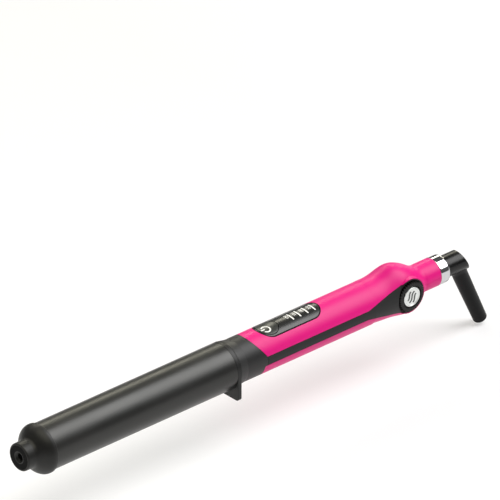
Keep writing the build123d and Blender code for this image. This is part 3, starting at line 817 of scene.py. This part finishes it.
@dataclass
class CordSwivel:
    """Ring, elbow and guard at the cord end. Sizes in mm, places from the elbow's pivot."""

    elbow_r: float = 7.35
    root_r: float = 5.25
    end_r: float = 4.75
    length: float = 54.95
    end_rounding: float = 1.1
    bore_r: float = 3.4
    bore_start: float = 4.0
    spigot_r: float = 4.4
    flare: float = 1.2
    flare_long: float = 3.4
    straight_start: float = 15.0

    def build(self) -> None:
        """Make the guard, which flows out of the elbow."""
        self.guard()

    def skin(self, out: float, cross: float) -> float:
        """Distance down the guard to the elbow's round skin.

        Args:
            out: place across the guard towards the front, in mm.
            cross: place across the wand, in mm.

        Returns:
            The distance in mm.
        """
        tilt = math.radians(GUARD_TILT)
        return (math.sqrt(max(0.0, self.elbow_r ** 2 - cross ** 2)) - math.sin(tilt) * out) / math.cos(tilt)

    def guard(self) -> None:
        """Tapered sleeve with the cord's bore. Its root flares and lies along the elbow's skin."""
        bore = [(0.0, self.bore_start), (self.bore_r, self.bore_start), (self.bore_r, self.length - 0.15),
                (self.bore_r + 0.12, self.length)]
        lip = self.end_r - self.end_rounding
        rim = bow((lip, self.length), (self.end_r, self.length), (self.end_r, self.length - self.end_rounding), 8)
        taper = [(self.end_r + (self.root_r - self.end_r) * k / 4,
                  self.length - 4 - (self.length - 4 - self.straight_start) * k / 4) for k in range(5)]
        flare = [(self.root_r + self.flare * (1 - k / 8) ** 2, 100 + self.flare_long * k / 8) for k in range(9)]
        root = [(self.root_r + self.flare, 98.5), (self.spigot_r, 1.5), (0.0, 1.5)]
        outline = bore + rim + taper + flare[::-1] + root
        mesh = lathe(outline, Matrix.Identity(4), 96)
        for vert in mesh.verts:
            if vert.co.z > 0.09:
                x, y = vert.co.x / MM, vert.co.y / MM
                out = math.hypot(x, y)
                fade = min(1.0, max(0.0, (x / out + 0.95) / 0.5))
                slim = (self.root_r + (out - self.root_r) * fade) / out
                vert.co.x *= slim
                vert.co.y *= slim
                vert.co.z += (self.skin(x * slim, y * slim) - 100) * MM
        bmesh.ops.recalc_face_normals(mesh, faces=mesh.faces)
        bmesh.ops.transform(mesh, matrix=down_guard(), verts=mesh.verts)
        guard = piece("cord_guard_sleeve", mesh, Body.SWIVEL, GUARD_PVC)
        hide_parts("cord_guard")

    def dress(self) -> None:
        """Finish the cord end's nodes."""
        dress_nodes(CHROME_PLATE, ["chrome_ring"])
        dress_nodes(ELBOW_NYLON, ["swivel_elbow"])
        dress_nodes(BLACK_MOULDING, ["swivel_socket", "swivel_spindle"])
        dress_nodes(BRASS, ["contact_brushes", "slip_rings"])
        dress_nodes(STEEL, ["swivel_clip"])


# ---- studio ----------------------------------------------------------------------------------
@dataclass
class Studio:
    """Floor, lights and camera."""

    azimuth: float = 41.73
    elevation: float = 30.0
    distance: float = 14.0
    lens_mm: float = 1588.0
    aim: tuple[float, float, float] = (0.03166, 0.00995, 0.0875)
    floor_drop: float = 0.0015
    glow_near: float = 0.55
    glow_far: float = 1.2
    glow_left: float = 0.60
    glow_right: float = 0.42

    def build(self) -> None:
        """Set the whole studio up."""
        self.floor()
        self.lights()
        self.camera()

    def floor(self) -> None:
        """A plain pale floor just under the lowest point of the guard."""
        mesh = bmesh.new()
        bmesh.ops.create_grid(mesh, x_segments=8, y_segments=8, size=6.0)
        bmesh.ops.translate(mesh, verts=mesh.verts, vec=(0, 0, CAD_BOX[0].z - self.floor_drop))
        data = bpy.data.meshes.new("studio_floor")
        mesh.to_mesh(data)
        mesh.free()
        obj = bpy.data.objects.new("studio_floor", data)
        bpy.context.scene.collection.objects.link(obj)
        obj.data.materials.append(self.floor_paper())

    def floor_paper(self) -> bpy.types.Material:
        """White paper that glows by itself, which is painted light: strongest near the wand so that the wand's
        shadow stays pale, dimmer further out.

        Returns:
            The floor's material.
        """
        material = bpy.data.materials.new("studio_paper_painted_glow")
        material.use_nodes = True
        tree = material.node_tree
        tree.nodes.clear()
        place = add_node(tree, "ShaderNodeTexCoord").outputs["Object"]
        # painted glow: the paper emits light, most near the wand, so the wand's shadow on it stays faint
        far = add_node(tree, "ShaderNodeVectorMath", {"operation": "LENGTH"}, {0: place})
        reach = add_node(tree, "ShaderNodeMapRange", {"interpolation_type": "SMOOTHSTEP"}, {
            "Value": far.outputs["Value"], "From Min": self.glow_near, "From Max": self.glow_far,
            "To Min": 1.0, "To Max": 0.0})
        # painted glow: brighter towards the tip's end, where the lamps light the paper less
        along = add_node(tree, "ShaderNodeSeparateXYZ", None, {"Vector": place})
        side = add_node(tree, "ShaderNodeMapRange", None, {
            "Value": along.outputs["X"], "From Min": -0.3, "From Max": 0.3,
            "To Min": self.glow_left, "To Max": self.glow_right})
        glow = add_node(tree, "ShaderNodeMath", {"operation": "MULTIPLY"}, {
            0: reach.outputs["Result"], 1: side.outputs["Result"]})
        shader = add_node(tree, "ShaderNodeBsdfPrincipled", None, {
            "Base Color": linear("#b4b4b5"), "Roughness": 0.9, "Specular IOR Level": 0.0,
            "Emission Color": linear("#ffffff"), "Emission Strength": glow.outputs["Value"]})
        add_node(tree, "ShaderNodeOutputMaterial", None, {"Surface": shader.outputs["BSDF"]})
        return material

    def softbox(self, name: str, toward: Sequence[float], reach: float, size: tuple[float, float],
                watts: float, colour: str = "#ffffff", along: Sequence[float] = (0, 0, 1),
                middle: float = 0.01) -> None:
        """Hang one rectangular softbox that faces the wand.

        Args:
            name: the light's name.
            toward: direction from the wand to the light.
            reach: distance in metres.
            size: its long and short side in metres.
            watts: its power.
            colour: its colour.
            along: direction that its long side follows.
            middle: place along the wand that it faces, in metres.
        """
        light = bpy.data.lights.new(name, "AREA")
        light.shape = "RECTANGLE"
        light.size, light.size_y = size
        light.energy = watts
        light.color = linear(colour)[:3]
        obj = bpy.data.objects.new(name, light)
        bpy.context.scene.collection.objects.link(obj)
        way = Vector(toward).normalized()
        obj.location = Vector((middle, 0, AXIS_HEIGHT)) + way * reach
        obj.rotation_mode = "QUATERNION"
        long_side = (Vector(along) - way * Vector(along).dot(way)).normalized()
        turn = Matrix((long_side, way.cross(long_side), way)).transposed()
        obj.rotation_quaternion = turn.to_quaternion()

    def lights(self) -> None:
        """Soft overhead key, a strip and a weak fill behind, and a small card over the tip."""
        self.softbox("key_overhead", (0.576, -0.30, 0.75), 1.3, (1.3, 0.82), 20.5)
        self.softbox("rim_behind", (0.576, 0.661, 0.48), 1.3, (1.6, 0.26), 7.4, "#fffbe8", (1, 0, 0))
        self.softbox("fill_behind", (-0.12, 0.78, 0.62), 1.3, (1.0, 0.6), 2.5, "#fffaf0", (1, 0, 0))
        self.softbox("fill_tip", (-0.25, -0.10, 0.96), 0.28, (0.34, 0.24), 0.6, "#fffbe8", (0, 1, 0), -0.16)
        world = bpy.data.worlds.new("studio_air")
        world.use_nodes = True
        world.node_tree.nodes.clear()
        glow = add_node(world.node_tree, "ShaderNodeBackground", None,
                        {"Color": linear("#e9e9ea"), "Strength": 0.15})
        add_node(world.node_tree, "ShaderNodeOutputWorld", None, {"Surface": glow.outputs["Background"]})
        bpy.context.scene.world = world

    def camera(self) -> None:
        """Long lens from the tip's side, looking down along the wand."""
        around, up = math.radians(self.azimuth), math.radians(self.elevation)
        look = Vector((math.sin(around) * math.cos(up), math.cos(around) * math.cos(up), -math.sin(up)))
        data = bpy.data.cameras.new("camera")
        data.lens = self.lens_mm
        data.sensor_width = 36.0
        data.clip_start, data.clip_end = 0.1, 30.0
        obj = bpy.data.objects.new("camera", data)
        bpy.context.scene.collection.objects.link(obj)
        obj.location = Vector(self.aim) - look * self.distance
        obj.rotation_mode = "QUATERNION"
        obj.rotation_quaternion = look.to_track_quat("-Z", "Y")
        bpy.context.scene.camera = obj


def main() -> None:
    """Build and dress the wand, then set the studio up."""
    logging.basicConfig(level=logging.INFO, format="%(name)s %(message)s")
    bpy.context.scene.view_settings.view_transform = "Standard"
    Studio().build()
    for assembly in (Barrel(), Handle(), Controls(), Dial(), CordSwivel()):
        assembly.build()
        assembly.dress()
        LOG.info("%s dressed", type(assembly).__name__)


if __name__ == "__main__":
    main()
